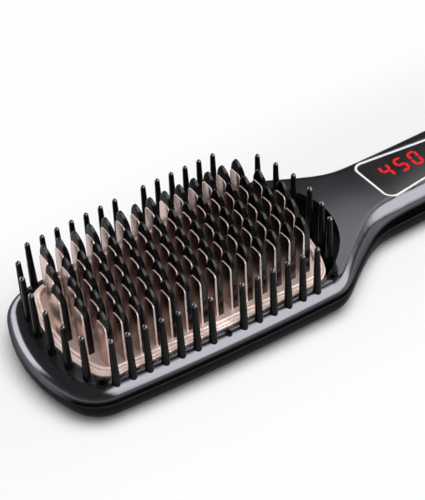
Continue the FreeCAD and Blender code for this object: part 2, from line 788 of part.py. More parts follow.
def main():
    os.makedirs("parts", exist_ok=True)

    export("upper_casing", make_upper_casing())
    export("lower_casing", make_lower_casing())
    export("trim_ring", make_trim_ring())

    export("heat_plate", make_heat_plate())
    tooth = make_tooth()
    for number, row in enumerate(tooth_rows(), start=1):
        export("tooth_row_%d" % number, *copies(tooth, row, rim_height))
    all_places = [place for row in tooth_rows() for place in row]
    export("heat_fins", *copies(make_fin(), all_places, rim_height))

    export("guard_pins", *copies(make_pin(), pin_places(), rim_height))
    outlets = copies(make_outlet(outlet_radius, outlet_bore_radius), outlet_places(), rim_height)
    export("ion_outlets", *outlets)
    export("rim_vents", *copies(make_outlet(vent_radius, vent_bore_radius), vent_places(), rim_height))

    export("plate_carrier", make_carrier())
    export("carrier_screws", *copies(make_carrier_screw(), carrier_screw_places(), insulation_bottom))
    half = heater_length / 2
    for name, y in (("heater_front", -heater_offset), ("heater_back", heater_offset)):
        near, far = y - heater_width / 2, y + heater_width / 2
        export(name, box(-half, half, near, far, heater_bottom, plate_bottom))
    export("heater_clamp", make_clamp())
    export("insulation_sheet", centred_box(-half, half, clamp_half_width, insulation_bottom, clamp_bottom))
    export("thermistor", centred_box(-sensor_offset - thermistor_length, -sensor_offset, thermistor_width / 2,
                                     heater_bottom, plate_bottom - hair_gap))
    fuse_end = Vec(sensor_offset, 0, heater_bottom + fuse_radius)
    export("thermal_fuse", Part.makeCylinder(fuse_radius, fuse_length, fuse_end, Vec(1, 0, 0)))

    export("display_window", make_window())
    export("display_frame", make_frame())
    export("display_module", centred_box(screen_start + button_gap, screen_start + screen_length - button_gap,
                                         screen_half_width - button_gap, board_top, inner_top - button_gap))
    export("control_board", centred_box(board_start, board_end, board_half_width, board_height, board_top))
    export("tact_switches", *[make_switch(x) for x in button_places()])
    for name, x in zip(("minus_button", "plus_button", "power_button"), button_places()):
        export(name, make_button(x))

    export("ion_generator", centred_box(ion_box_start, ion_box_start + ion_box_length, ion_box_half_width,
                                        casing_wall + hair_gap, board_height - ion_box_gap))
    carrier_end = opening_reach - 2 * hair_gap
    export("heater_leads", *[lead(carrier_end, board_start + heater_lead_overlap, side * heater_lead_y,
                                  board_height - lead_radius) for side in (1, -1)])
    export("supply_leads", *[lead(board_end - supply_lead_overlap, contact_start, side * supply_lead_y,
                                  board_top + lead_radius) for side in (1, -1)])
    export("contact_block", make_contact_block())
    export("cord_swivel", make_swivel())
    export("case_screws", *copies(make_case_screw(), screw_places(), 0))


main()
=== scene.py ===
import math
from collections import namedtuple

import bpy
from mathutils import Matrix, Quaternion, Vector
from mathutils.geometry import tessellate_polygon


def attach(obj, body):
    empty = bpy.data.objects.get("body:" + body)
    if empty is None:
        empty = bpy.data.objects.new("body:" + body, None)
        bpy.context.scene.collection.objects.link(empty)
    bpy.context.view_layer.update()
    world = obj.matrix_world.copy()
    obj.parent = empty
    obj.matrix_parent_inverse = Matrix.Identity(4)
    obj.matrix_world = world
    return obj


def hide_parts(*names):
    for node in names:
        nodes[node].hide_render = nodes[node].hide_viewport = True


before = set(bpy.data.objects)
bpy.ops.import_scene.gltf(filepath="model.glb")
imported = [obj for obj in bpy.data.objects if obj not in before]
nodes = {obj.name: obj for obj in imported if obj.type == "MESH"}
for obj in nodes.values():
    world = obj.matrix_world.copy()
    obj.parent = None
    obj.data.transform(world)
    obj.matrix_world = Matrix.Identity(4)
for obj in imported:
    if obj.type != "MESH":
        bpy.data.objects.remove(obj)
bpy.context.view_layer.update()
scene = bpy.context.scene


# Sizes, in millimetres unless a comment says otherwise.
# Steps are the flat stretches of a rounded form, and levels the rows of points up a straight side.

MM = 0.001
QUARTER = math.pi / 2

# Head: the level of its rim, and the large arcs of its long sides, which are widest at one place along X.
RIM = 17.0
SIDE_RADIUS, HEAD_HALF, WIDEST = 980.0, 35.6, 40.0

# Tooth field: rows along X on a staggered lattice.
PITCH, ROW_STEP = 6.0, 9.75
TOOTH_ROWS, LONGEST_ROW = 5, 16

# Tooth: half width, height, height of the arch and radius of the tip, then its thickness and the radii of the
# back's edge and the front's broken edge. It is full up to a level, and at the tip a share of it is left.
TOOTH_HALF, TOOTH_HEIGHT, TOOTH_ARCH, TOOTH_TIP = 3.2, 23.5, 6.6, 1.2
TOOTH_THICK, TOOTH_BACK, TOOTH_EDGE = 2.6, 0.95, 0.28
TOOTH_FULL, TOOTH_LEFT = 13.0, 0.42
TOOTH_LEVELS = (0.0, 4.0, 8.0, 12.0, 15.0)
ARCH_STEPS, TIP_STEPS, BACK_STEPS, EDGE_STEPS = 12, 6, 7, 3
TOOTH_FRONT = -TOOTH_THICK / 2

# Heat fin: it lies on the tooth's front.
FIN_HALF, FIN_THICK, FIN_HEIGHT, FIN_CORNER, FIN_EDGE = 3.0, 0.7, 18.3, 1.6, 0.14
FIN_FULL, FIN_LEFT = 12.0, 0.45
FIN_LEVELS = (0.0, 6.0, 12.0)
FIN_CORNER_STEPS = 8

# Guard pins: along the sides a pitch apart, and at both ends on an arc, at shares of its half width.
PIN_INSET = 3.6
PIN_FIRST, PIN_LAST = -7, 6
PIN_REACH, PIN_END_RADIUS, PIN_END_HALF = 53.0, 60.0, 30.8
PIN_END_SHARES = (0.16, 0.45, 0.71)

# Pin: height, radius of the foot, of the tip and of the spigot, and the levels of the spigot and the foot.
PIN_TOP, PIN_FOOT, PIN_TIP, PIN_SPIGOT = 19.5, 1.45, 0.95, 1.3
SPIGOT_BOTTOM, SPIGOT_TOP, FOOT_BOTTOM = -4.0, -1.6, -1.2
PIN_LEVELS = (0.0, 5.0, 10.0, 15.0)
PIN_TIP_START, PIN_TIP_END = 0.03, math.radians(84)
PIN_SIDES, PIN_TIP_STEPS = 20, 8

# Opening of the head, lined by the trim ring: half length, half width and the radii of its ends and corners.
OPENING_REACH, OPENING_HALF, OPENING_END, OPENING_CORNER = 50.6, 29.8, 58.0, 9.0
END_STEPS, CORNER_STEPS, BOW_STEPS = 18, 12, 28

# Trim ring: beads and grooves from its outer side inwards, each with the inset and level of its centre, its
# radius, its first and last angle in degrees and its steps. A groove hangs below its centre, so its radius is
# negative. Edges nearer to each other than SAME_PLACE need no strip between them.
RING_FOOT = 14.0
BEADS = (
    (0.49, 17.35, 0.34, 0, 160, 7),
    (1.02, 17.50, -0.24, 20, 160, 5),
    (1.50, 17.85, 0.28, 10, 165, 7),
    (1.94, 18.02, -0.18, 20, 150, 4),
    (2.47, 18.52, 0.48, -10, 180, 10),
)
SAME_PLACE = 0.001

# Display digits: seven-segment bars on the window, slanted by a share of their height.
PANEL = 20.2
FIGURES = {"4": "bcfg", "5": "acdfg", "0": "abcdef"}
DIGITS, DIGIT_PLACES, DIGIT_Y = "450", (93.5, 100.4, 107.1), 1.9
DIGIT_WIDE, DIGIT_TALL, SLANT = 4.6, 8.3, 0.12
BAR, BAR_GAP, BAR_THICK = 1.22, 0.08, 0.04

# Signs on the buttons, which lie in the tops of the caps.
CAP_TOP, SIGN_DEEP = 20.7, 0.02
MINUS_X, PLUS_X, POWER_X = 120.8, 130.0, 139.2
SIGN_LONG, SIGN_STROKE = 2.8, 0.6
POWER_RADIUS, POWER_STROKE, POWER_BAR, POWER_BAR_SHIFT = 1.35, 0.45, 1.6, 1.0
POWER_SWEEP, POWER_STEPS = math.radians(140), 20

# Case screws: they stand head down, with a cross recess that narrows to a share of itself at its floor.
SCREW_PLACES = ((70.0, 9.5), (70.0, -9.5), (192.0, 0.0))
SCREW_BOTTOM, SCREW_HEAD_TOP, SCREW_HEAD, SCREW_DOME = 1.2, 3.2, 2.6, 0.5
CROSS_LONG, CROSS_HALF, CROSS_DEEP = 1.35, 0.32, 1.0
CROSS_LEFT, CROSS_TILT = 0.7, -0.3
SCREW_HEAD_SIDES, DOME_STEPS = 40, 5

# Shank: the last turn of the thread starts below a plain end, which runs into the point. Each row of a turn
# is its radius, its level and the lean of its normal.
SHANK, SHANK_TOP, PLAIN_END = 1.4, 16.0, 1.2
THREAD_ROOT, THREAD_PITCH = 1.15, 0.8
THREAD_TURN = ((SHANK, 0.25, 0.5), (THREAD_ROOT, 0.50, 0.0), (SHANK, 0.75, -0.5))
POINT_START, POINT_START_RADIUS, POINT_START_NORMAL = 0.5, 1.2, (1.0, 0.3)
POINT_RADIUS, POINT_NORMAL = 0.5, (0.6, 0.8)
SHANK_SIDES = 24

# Cord collar: radii and levels along its axis, from the flange inside the handle to the nose outside.
COLLAR_X, COLLAR_Z = 212.0, 11.0
BORE, BORE_LIP = 3.1, 0.3
FLANGE, FLANGE_BOTTOM, FLANGE_TOP = 5.3, -5.8, -3.3
NECK, NECK_TOP = 4.3, 0.3
NOSE, NOSE_END, NOSE_TOP = 6.8, 5.2, 12.0
NOSE_ROUND, NOSE_ROUND_END = 0.4, math.radians(-8)
BRIM, BRIM_ROUND, BRIM_START = 5.26, 0.6, 0.1
GRIPS, GRIP_FIRST, GRIP_STEP, GRIP_END = 4, 1.6, 2.2, 10.9
GRIP_WIDE, GRIP_DEEP, GRIP_TILT = 1.0, 0.38, 0.75
COLLAR_SIDES = 56
NOSE_STEPS, GRIP_STEPS, BRIM_STEPS, LIP_STEPS = 5, 8, 6, 4

# Stage, in metres: the floor's half length, the oval where the floor shows the object's shadow, as a scale, a
# shift and two scaled radii with the share of white at each, and the point that the lamps look at.
FLOOR_HALF = 4
OVAL_SCALE, OVAL_SHIFT = (2.5, 10.0, 1.0), (-0.20, 0, 0)
OVAL_INNER, OVAL_OUTER = 0.36, 0.95
WHITE_INNER, WHITE_OUTER = 0.05, 0.96
LAMP_AIM = Vector((0.05, 0, 0.015))

# World: its strength in a low and in a high direction, each given by the height of a unit vector.
SKY_LOW, SKY_LOW_STRENGTH = 0.05, 0.22
SKY_HIGH, SKY_HIGH_STRENGTH = 0.45, 0.07

# Camera, its place in millimetres from the part's origin.
CAMERA_PLACE = Vector((-169.228, -306.767, 340.599))
CAMERA_TURN = Quaternion((0.87082341, 0.39882697, -0.09674509, -0.27063634))
CAMERA_LENS, SENSOR_WIDTH, CLIP_START = 98.505, 36.0, 0.01


# Shader helpers: a setting is a plain value or the output of another shader node.


def connect(tree, setting, socket):
    if isinstance(setting, bpy.types.NodeSocket):
        tree.links.new(setting, socket)
    else:
        socket.default_value = setting


def calculate(tree, operation, first, second):
    node = tree.nodes.new("ShaderNodeMath")
    node.operation = operation
    connect(tree, first, node.inputs[0])
    connect(tree, second, node.inputs[1])
    return node.outputs["Value"]


def scaled(tree, vector, share):
    node = tree.nodes.new("ShaderNodeVectorMath")
    node.operation = "SCALE"
    connect(tree, vector, node.inputs["Vector"])
    connect(tree, share, node.inputs["Scale"])
    return node.outputs["Vector"]


def length(tree, vector):
    node = tree.nodes.new("ShaderNodeVectorMath")
    node.operation = "LENGTH"
    connect(tree, vector, node.inputs["Vector"])
    return node.outputs["Value"]


def step(tree, value, low, high, bottom=0.0, top=1.0, kind="SMOOTHSTEP"):
    """A step from bottom to top as the value goes from low to high."""
    node = tree.nodes.new("ShaderNodeMapRange")
    node.interpolation_type = kind
    connect(tree, value, node.inputs["Value"])
    connect(tree, low, node.inputs["From Min"])
    connect(tree, high, node.inputs["From Max"])
    connect(tree, bottom, node.inputs["To Min"])
    connect(tree, top, node.inputs["To Max"])
    return node.outputs["Result"]


def split(tree, vector):
    """The X, Y and Z outputs of a vector."""
    node = tree.nodes.new("ShaderNodeSeparateXYZ")
    connect(tree, vector, node.inputs["Vector"])
    return node.outputs


def mapped(tree, vector, scale, location=(0, 0, 0)):
    node = tree.nodes.new("ShaderNodeMapping")
    connect(tree, vector, node.inputs["Vector"])
    node.inputs["Location"].default_value = location
    node.inputs["Scale"].default_value = scale
    return node.outputs["Vector"]


def noise(tree, vector, scale, detail):
    node = tree.nodes.new("ShaderNodeTexNoise")
    connect(tree, vector, node.inputs["Vector"])
    node.inputs["Scale"].default_value = scale
    node.inputs["Detail"].default_value = detail
    return node.outputs["Fac"]


# Materials: each is built from procedural noise, so that colour, gloss and surface vary as on real parts.

NOISE_LOW, NOISE_HIGH = 0.3, 0.7
COLOUR_DETAIL, RELIEF_DETAIL = 4.0, 3.0
LEAST_ROUGHNESS = 0.02
RELIEF_DEEP = 0.1

# Painted shade: a shade fade darkens a colour to a share of itself from a high level down to a low one, where
# shade falls on the lower sides. Towards an end of the part the share changes to another one, and along the
# neck both levels are lifted.
Fade = namedtuple("Fade", "low high share end end_share lift")
SHADE_FADE_END_LONG = 6.0
LIFT_START, LIFT_END = 60.0, 92.0

# Painted shade in a recess: it darkens a colour to a share of itself below a level inside a circle round a
# place on the X axis.
RecessShade = namedtuple("RecessShade", "x radius level share")
RECESS_SIDE_SOFT, RECESS_TOP_SOFT = 0.3, 0.1


def shade_faded(tree, shade, place, shade_fade):
    axes = split(tree, place)
    end_edge = (shade_fade.end + SHADE_FADE_END_LONG) * MM
    share = step(tree, axes["X"], shade_fade.end * MM, end_edge, shade_fade.end_share, shade_fade.share)
    lift = step(tree, axes["X"], LIFT_START * MM, LIFT_END * MM, 0.0, shade_fade.lift * MM)
    level = calculate(tree, "SUBTRACT", axes["Z"], lift)
    return scaled(tree, shade, step(tree, level, shade_fade.low * MM, shade_fade.high * MM, share, 1.0))


def recess_shaded(tree, shade, place, recess):
    axes = split(tree, place)
    flat = tree.nodes.new("ShaderNodeCombineXYZ")
    connect(tree, calculate(tree, "SUBTRACT", axes["X"], recess.x * MM), flat.inputs["X"])
    connect(tree, axes["Y"], flat.inputs["Y"])
    away = length(tree, flat.outputs["Vector"])
    inner_radius, upper_level = recess.radius - RECESS_SIDE_SOFT, recess.level + RECESS_TOP_SOFT
    outside = step(tree, away, inner_radius * MM, recess.radius * MM, recess.share, 1.0)
    above = step(tree, axes["Z"], recess.level * MM, upper_level * MM, recess.share, 1.0)
    return scaled(tree, shade, calculate(tree, "MAXIMUM", outside, above))


def surface(name, colour, roughness, metallic=0.0, specular=0.5, tint=0.12, grain=900.0, gloss_spread=0.06,
            bump=0.0, bump_grain=3000.0, stretch=(1, 1, 1), coat=0.0, coat_roughness=0.1, emission=None,
            grazing=1.0, shade_fade=None, recess=None):
    """A material whose colour, gloss and relief follow two layers of noise in the part's own coordinates.

    Grazing is the share of a metal's mirror light that is left at flat angles. A shade fade and a recess
    shade darken its colour with painted shade.
    """
    material = bpy.data.materials.new(name)
    material.use_nodes = True
    tree = material.node_tree
    shader = tree.nodes["Principled BSDF"].inputs
    shader["Metallic"].default_value = metallic
    shader["Specular IOR Level"].default_value = specular
    shader["Specular Tint"].default_value = (grazing, grazing, grazing, 1)
    shader["Coat Weight"].default_value = coat
    shader["Coat Roughness"].default_value = coat_roughness
    place = tree.nodes.new("ShaderNodeTexCoord").outputs["Object"]
    stretched = mapped(tree, place, stretch)
    speckle = noise(tree, stretched, grain, COLOUR_DETAIL)

    ramp = tree.nodes.new("ShaderNodeValToRGB")
    dark, light = ramp.color_ramp.elements
    dark.position, light.position = NOISE_LOW, NOISE_HIGH
    dark.color = [c * (1 - tint) for c in colour] + [1]
    light.color = [min(1, c * (1 + tint)) for c in colour] + [1]
    connect(tree, speckle, ramp.inputs["Fac"])
    shade = ramp.outputs["Color"]
    if shade_fade:
        shade = shade_faded(tree, shade, place, shade_fade)
    if recess:
        shade = recess_shaded(tree, shade, place, recess)
    connect(tree, shade, shader["Base Color"])

    smoothest = max(LEAST_ROUGHNESS, roughness - gloss_spread)
    gloss = step(tree, speckle, NOISE_LOW, NOISE_HIGH, smoothest, roughness + gloss_spread, "LINEAR")
    connect(tree, gloss, shader["Roughness"])
    if bump:
        relief = tree.nodes.new("ShaderNodeBump")
        relief.inputs["Strength"].default_value = bump
        relief.inputs["Distance"].default_value = RELIEF_DEEP * MM
        connect(tree, noise(tree, stretched, bump_grain, RELIEF_DETAIL), relief.inputs["Height"])
        connect(tree, relief.outputs["Normal"], shader["Normal"])
    if emission:
        glow, strength = emission
        shader["Emission Color"].default_value = list(glow) + [1]
        shader["Emission Strength"].default_value = strength
    return material


# Painted shade on the graphite: darker down its sides towards the seam except at the tip, lifted along the
# neck, and darker in the recess between the tooth field and the step to the neck.
graphite = surface("graphite_paint", (0.120, 0.118, 0.131), 0.12, metallic=0.92, specular=0.3, tint=0.06,
                   grain=5200.0, gloss_spread=0.01, bump=0.01, bump_grain=4200.0, grazing=0.3,
                   shade_fade=Fade(low=12.5, high=14.4, share=0.02, end=-61.0, end_share=1.0, lift=2.2),
                   recess=RecessShade(x=32.5, radius=30.0, level=17.1, share=0.06))
# Painted shade on the black moulding: below the lip at the seam it is darkened to a fifth.
shell_black = surface("moulded_black", (0.032, 0.032, 0.034), 0.42, specular=0.012, tint=0.12, grain=2600.0,
                      bump=0.05, bump_grain=5200.0,
                      shade_fade=Fade(low=10.62, high=10.70, share=0.2, end=-80.0, end_share=0.2, lift=0.0))
collar_black = surface("collar_black", (0.012, 0.012, 0.013), 0.42, specular=0.3, tint=0.2, grain=2600.0,
                       bump=0.08, bump_grain=5200.0)
rose_gold = surface("rose_gold", (0.72, 0.53, 0.475), 0.24, metallic=1.0, tint=0.03, grain=700.0,
                    gloss_spread=0.01, stretch=(1, 1, 0.4))
# A paler, less metallic copy of the rose gold on the fins' edges: a painted highlight.
rose_edge_highlight = surface("rose_gold_edge_highlight", (0.95, 0.75, 0.68), 0.30, metallic=0.35, tint=0.04, grain=900.0,
                    gloss_spread=0.04)
rose_plate = surface("rose_gold_plate", (0.80, 0.61, 0.555), 0.34, metallic=0.55, tint=0.08, grain=500.0,
                     gloss_spread=0.06, bump=0.03, bump_grain=2200.0, stretch=(0.15, 1, 1))
ring_gold = surface("ring_gold", (0.97, 0.76, 0.70), 0.32, metallic=0.25, tint=0.04, grain=600.0,
                    gloss_spread=0.05)
# Dark red-brown for the ring's grooves: painted shade between its beads.
ring_groove_shade = surface("ring_groove_shade", (0.060, 0.018, 0.014), 0.36, metallic=0.3, tint=0.25, grain=900.0)
nylon = surface("tooth_nylon", (0.004, 0.0042, 0.0044), 0.18, specular=0.03, tint=0.3, grain=1500.0,
                gloss_spread=0.04, bump=0.02, bump_grain=2400.0)
nylon_edge = surface("tooth_nylon_edge", (0.006, 0.006, 0.0064), 0.13, specular=0.25, tint=0.3, grain=1500.0,
                     gloss_spread=0.02)
pin_nylon = surface("pin_nylon", (0.004, 0.0042, 0.0044), 0.14, specular=0.08, tint=0.3, grain=1500.0,
                    gloss_spread=0.03)
pin_tip_nylon = surface("pin_tip", (0.006, 0.006, 0.0064), 0.06, specular=1.0, tint=0.3, grain=1500.0,
                        gloss_spread=0.02, coat=1.0, coat_roughness=0.05)
outlet_black = surface("outlet_black", (0.003, 0.003, 0.003), 0.30, specular=0.15, tint=0.25, grain=1800.0,
                       bump=0.04)
glass = surface("smoked_window", (0.010, 0.010, 0.011), 0.10, specular=1.0, tint=0.2, grain=120.0,
                gloss_spread=0.02, coat=0.4, coat_roughness=0.06)
silver = surface("silver_outline", (0.90, 0.90, 0.92), 0.40, metallic=0.1, tint=0.03, grain=1400.0,
                 gloss_spread=0.06)
digit_red = surface("digit_red", (0.10, 0.004, 0.004), 0.5, specular=0.1, tint=0.15, grain=1600.0,
                    emission=((1.0, 0.010, 0.020), 0.75))
button_black = surface("button_black", (0.012, 0.012, 0.013), 0.26, tint=0.25, grain=2000.0, bump=0.05,
                       bump_grain=4200.0)
mark_white = surface("mark_white", (0.72, 0.72, 0.74), 0.45, tint=0.06, grain=1700.0)
steel = surface("screw_steel", (0.42, 0.42, 0.43), 0.30, metallic=1.0, tint=0.12, grain=1300.0,
                gloss_spread=0.10)
ceramic = surface("heater_ceramic", (0.78, 0.76, 0.72), 0.55, tint=0.05, grain=1500.0, bump=0.10)
sleeve = surface("lead_sleeve", (0.65, 0.63, 0.58), 0.6, tint=0.1, grain=1500.0, bump=0.2)
floor_paper = surface("floor_paper", (0.95, 0.95, 0.95), 0.9, specular=0.0, tint=0.004, grain=40.0)

finishes = {
    "upper_casing": graphite,
    "lower_casing": shell_black,
    "heat_plate": rose_plate,
    "ion_outlets": outlet_black,
    "rim_vents": outlet_black,
    "display_window": glass,
    "display_frame": silver,
    "minus_button": button_black,
    "plus_button": button_black,
    "power_button": button_black,
    "plate_carrier": surface("carrier_resin", (0.045, 0.042, 0.040), 0.55, tint=0.2, grain=1200.0, bump=0.12),
    "carrier_screws": steel,
    "heater_front": ceramic,
    "heater_back": ceramic,
    "heater_clamp": surface("clamp_steel", (0.50, 0.50, 0.50), 0.35, metallic=1.0, tint=0.1, grain=900.0,
                            stretch=(0.1, 1, 1), bump=0.05),
    "insulation_sheet": surface("mica_sheet", (0.42, 0.33, 0.20), 0.6, tint=0.25, grain=700.0, bump=0.15),
    "thermistor": surface("sensor_epoxy", (0.05, 0.10, 0.06), 0.4, tint=0.2, grain=1500.0),
    "thermal_fuse": surface("fuse_steel", (0.55, 0.53, 0.50), 0.3, metallic=1.0, tint=0.1, grain=1500.0),
    "display_module": surface("module_resin", (0.015, 0.015, 0.016), 0.5, tint=0.2, grain=1500.0, bump=0.08),
    "control_board": surface("board_laminate", (0.02, 0.13, 0.05), 0.42, tint=0.3, grain=900.0, bump=0.10),
    "tact_switches": surface("switch_resin", (0.03, 0.03, 0.03), 0.45, tint=0.2, grain=1500.0),
    "ion_generator": surface("generator_resin", (0.02, 0.02, 0.022), 0.5, tint=0.2, grain=1100.0, bump=0.08),
    "heater_leads": sleeve,
    "supply_leads": sleeve,
    "contact_block": surface("contact_resin", (0.05, 0.05, 0.05), 0.5, tint=0.2, grain=1200.0, bump=0.08),
}
for node_name, finish in finishes.items():
    node_slots = nodes[node_name].data.materials
    node_slots.clear()
    node_slots.append(finish)


# Mesh helpers.

UP, DOWN = Vector((0, 0, 1)), Vector((0, 0, -1))


class Shell:
    """Collects points with their normals and faces with their material numbers."""

    def __init__(self):
        self.points, self.normals, self.faces, self.materials = [], [], [], []

    def add(self, points, normals):
        first = len(self.points)
        self.points += points
        self.normals += normals
        return list(range(first, first + len(points)))

    def face(self, corners, material=0):
        self.faces.append(corners)
        self.materials.append(material)

    def bridge(self, a, b, closed=True, material=0):
        """Quads between two rows of the same length."""
        count = len(a)
        for i in range(count if closed else count - 1):
            j = (i + 1) % count
            self.face([a[i], a[j], b[j], b[i]], material)

    def sweep(self, rows, closed=True, material=0):
        """Adds rows, each given as points and normals, with quads between them."""
        numbers = [self.add(points, normals) for points, normals in rows]
        for a, b in zip(numbers, numbers[1:]):
            self.bridge(a, b, closed, material)
        return numbers

    def cap(self, points, normal, material=0):
        row = self.add(points, [normal] * len(points))
        self.face(row, material)

    def lid(self, row, normal, material=0):
        """A flat face over a row that is already there."""
        self.cap([self.points[i] for i in row], normal, material)

    def take(self, other, shift):
        """Adds a copy of another shell."""
        first = len(self.points)
        self.points += [p + shift for p in other.points]
        self.normals += other.normals
        self.faces += [[first + i for i in face] for face in other.faces]
        self.materials += other.materials

    def merged_at(self, places, z):
        """Copies of this shell at the places given."""
        out = Shell()
        for x, y in places:
            out.take(self, Vector((x, y, z)))
        return out

    def make(self, name, body, slot, materials, stands_for=()):
        mesh = bpy.data.meshes.new(name)
        mesh.from_pydata([p * MM for p in self.points], [], self.faces)
        for material in materials:
            mesh.materials.append(material)
        mesh.polygons.foreach_set("material_index", self.materials)
        mesh.polygons.foreach_set("use_smooth", [True] * len(self.faces))
        mesh.normals_split_custom_set_from_vertices([n.normalized() for n in self.normals])
        mesh.update()
        piece = bpy.data.objects.new(name, mesh)
        scene.collection.objects.link(piece)
        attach(piece, body)
        if stands_for:
            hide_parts(*stands_for)


def join(shells):
    out = Shell()
    for shell in shells:
        out.take(shell, Vector((0, 0, 0)))
    return out


def even_steps(start, end, count):
    return [start + (end - start) * i / count for i in range(count + 1)]


def arc(across, up, radius, start, end, count):
    """Points of an arc with their normals, as (across, up, normal across, normal up)."""
    return [(across + radius * math.cos(a), up + radius * math.sin(a), math.cos(a), math.sin(a))
            for a in even_steps(start, end, count)]


def straight(start, end, normal):
    """The two ends of a straight stretch, in the same form."""
    return [(*start, *normal), (*end, *normal)]


def circles(profile, count):
    """Rows round the Z axis for a profile of (radius, height, normal out, normal up)."""
    turns = [2 * math.pi * i / count for i in range(count)]
    return [([Vector((radius * math.cos(t), radius * math.sin(t), height)) for t in turns],
             [Vector((out * math.cos(t), out * math.sin(t), up)) for t in turns])
            for radius, height, out, up in profile]


def prism(outline, bottom, top):
    """A flat bar with upright sides."""
    shell = Shell()
    count = len(outline)
    low = [Vector((x, y, bottom)) for x, y in outline]
    high = [Vector((x, y, top)) for x, y in outline]
    shell.cap(high, UP)
    shell.cap(low[::-1], DOWN)
    for i in range(count):
        j = (i + 1) % count
        edge = (high[j] - high[i]).normalized()
        shell.cap([low[i], low[j], high[j], high[i]], Vector((edge.y, -edge.x, 0)))
    return shell


def slab(outline, profile, flat, taper):
    """A leaf that stands upright with its faces towards X.

    Outline gives (y, z, normal y, normal z) from foot to foot over the tip. Profile gives (x, out, normal x,
    normal out) from the front face to the back face. Taper gives, for a height, the share of the thickness
    left and its slope, and the thickness shrinks towards x = flat. The edge takes the second material.
    """
    shell = Shell()
    rows = []
    for x, out, nx, nout in profile:
        points, normals = [], []
        for y, z, ny, nz in outline:
            height = z + out * nz
            share, slope = taper(height)
            points.append(Vector((flat + (x - flat) * share, y + out * ny, height)))
            normals.append(Vector((nx, nout * ny, nout * nz - nx * (x - flat) * slope)))
        rows.append((points, normals))
    edge = shell.sweep(rows, closed=False, material=1)
    for row, x, sign in ((edge[0], profile[0][0], -1), (edge[-1], profile[-1][0], 1)):
        points = [shell.points[i] for i in row]
        leans = [Vector((sign, 0, -sign * (x - flat) * taper(p.z)[1])) for p in points]
        face = shell.add(points, leans)
        last = len(face) - 1
        for i in range(last // 2):
            j = last - i
            corners = [face[i], face[i + 1], face[j - 1], face[j]]
            if i + 1 == j - 1:
                corners.pop(2)
            shell.face(corners if sign > 0 else corners[::-1])
    foot = [row[0] for row in edge] + [row[-1] for row in edge[::-1]]
    shell.lid(foot, DOWN)
    return shell


def narrowing(start, end, left):
    """A taper that leaves the full thickness below start and a share of it at end."""

    def taper(z):
        t = max(0.0, (z - start) / (end - start))
        return 1 - (1 - left) * t * t, -2 * (1 - left) * t / (end - start)

    return taper


def mirrored(side):
    return [(-y, z, -ny, nz) for y, z, ny, nz in side[::-1]]


# Teeth: a flat front with a fine broken edge, a rounded back and an arched, rounded tip.


def tooth():
    shoulder, tip_level = TOOTH_HEIGHT - TOOTH_ARCH, TOOTH_HEIGHT - TOOTH_TIP
    rise = tip_level - shoulder
    bend = (TOOTH_HALF ** 2 + rise ** 2 - TOOTH_TIP ** 2) / (2 * (TOOTH_HALF - TOOTH_TIP))
    turn = math.atan2(rise, bend - TOOTH_HALF)
    side = [(TOOTH_HALF, z, 1.0, 0.0) for z in TOOTH_LEVELS]
    side += arc(TOOTH_HALF - bend, shoulder, bend, 0, turn, ARCH_STEPS)
    side += arc(0, tip_level, TOOTH_TIP, turn, QUARTER, TIP_STEPS)[1:]
    profile = arc(TOOTH_FRONT + TOOTH_EDGE, -TOOTH_EDGE, TOOTH_EDGE, math.pi, QUARTER, EDGE_STEPS)
    profile += arc(-TOOTH_FRONT - TOOTH_BACK, -TOOTH_BACK, TOOTH_BACK, QUARTER, 0, BACK_STEPS)
    outline = side + mirrored(side[:-1])
    return slab(outline, profile, TOOTH_FRONT, narrowing(TOOTH_FULL, TOOTH_HEIGHT, TOOTH_LEFT))


def tooth_rows():
    """Places of the teeth, row by row, with one tooth less for each row away from the middle one."""
    rows = []
    middle = TOOTH_ROWS // 2
    for index in range(TOOTH_ROWS):
        count = LONGEST_ROW - abs(index - middle)
        y = ROW_STEP * (index - middle)
        rows.append([(PITCH * (i - (count - 1) / 2), y) for i in range(count)])
    return rows


one_tooth = tooth()
for number, places in enumerate(tooth_rows(), start=1):
    one_tooth.merged_at(places, RIM).make("teeth_%d" % number, "brush", "nylon_black", [nylon, nylon_edge],
                                          ["tooth_row_%d" % number])


# Heat fins: thin metal leaves with rounded shoulders and fine broken edges that carry a painted highlight.


def fin():
    side = [(FIN_HALF, z, 1.0, 0.0) for z in FIN_LEVELS]
    side += arc(FIN_HALF - FIN_CORNER, FIN_HEIGHT - FIN_CORNER, FIN_CORNER, 0, QUARTER, FIN_CORNER_STEPS)
    front = TOOTH_FRONT - FIN_THICK
    profile = arc(front + FIN_EDGE, -FIN_EDGE, FIN_EDGE, math.pi, QUARTER, EDGE_STEPS)
    profile.append((TOOTH_FRONT, 0.0, 0.0, 1.0))
    return slab(side + mirrored(side), profile, TOOTH_FRONT, narrowing(FIN_FULL, FIN_HEIGHT, FIN_LEFT))


fin_places = [place for places in tooth_rows() for place in places]
fin().merged_at(fin_places, RIM).make("fins", "brush", "rose_gold", [rose_gold, rose_edge_highlight], ["heat_fins"])


# Guard pins: tapered, with a spigot below and a glossy round tip.


def pin():
    lean = (PIN_FOOT - PIN_TIP) / (PIN_TOP - PIN_TIP)
    shaft = straight((PIN_SPIGOT, SPIGOT_BOTTOM), (PIN_SPIGOT, SPIGOT_TOP), (1.0, 0.0))
    shaft.append((PIN_FOOT, FOOT_BOTTOM, 1.0, 0.0))
    shaft += [(PIN_FOOT - lean * z, z, 1.0, lean) for z in PIN_LEVELS]
    tip = arc(0, PIN_TOP - PIN_TIP, PIN_TIP, PIN_TIP_START, PIN_TIP_END, PIN_TIP_STEPS)
    shell = Shell()
    rings = [shell.add(*row) for row in circles(shaft + tip, PIN_SIDES)]
    for i in range(len(rings) - 1):
        shell.bridge(rings[i], rings[i + 1], material=int(i >= len(shaft)))
    shell.lid(rings[0][::-1], DOWN)
    shell.lid(rings[-1], UP, 1)
    return shell


def side_line(x, inset):
    """Half width of the head at a place along it, less an inset."""
    return HEAD_HALF - SIDE_RADIUS + math.sqrt((SIDE_RADIUS - inset) ** 2 - (x - WIDEST) ** 2)


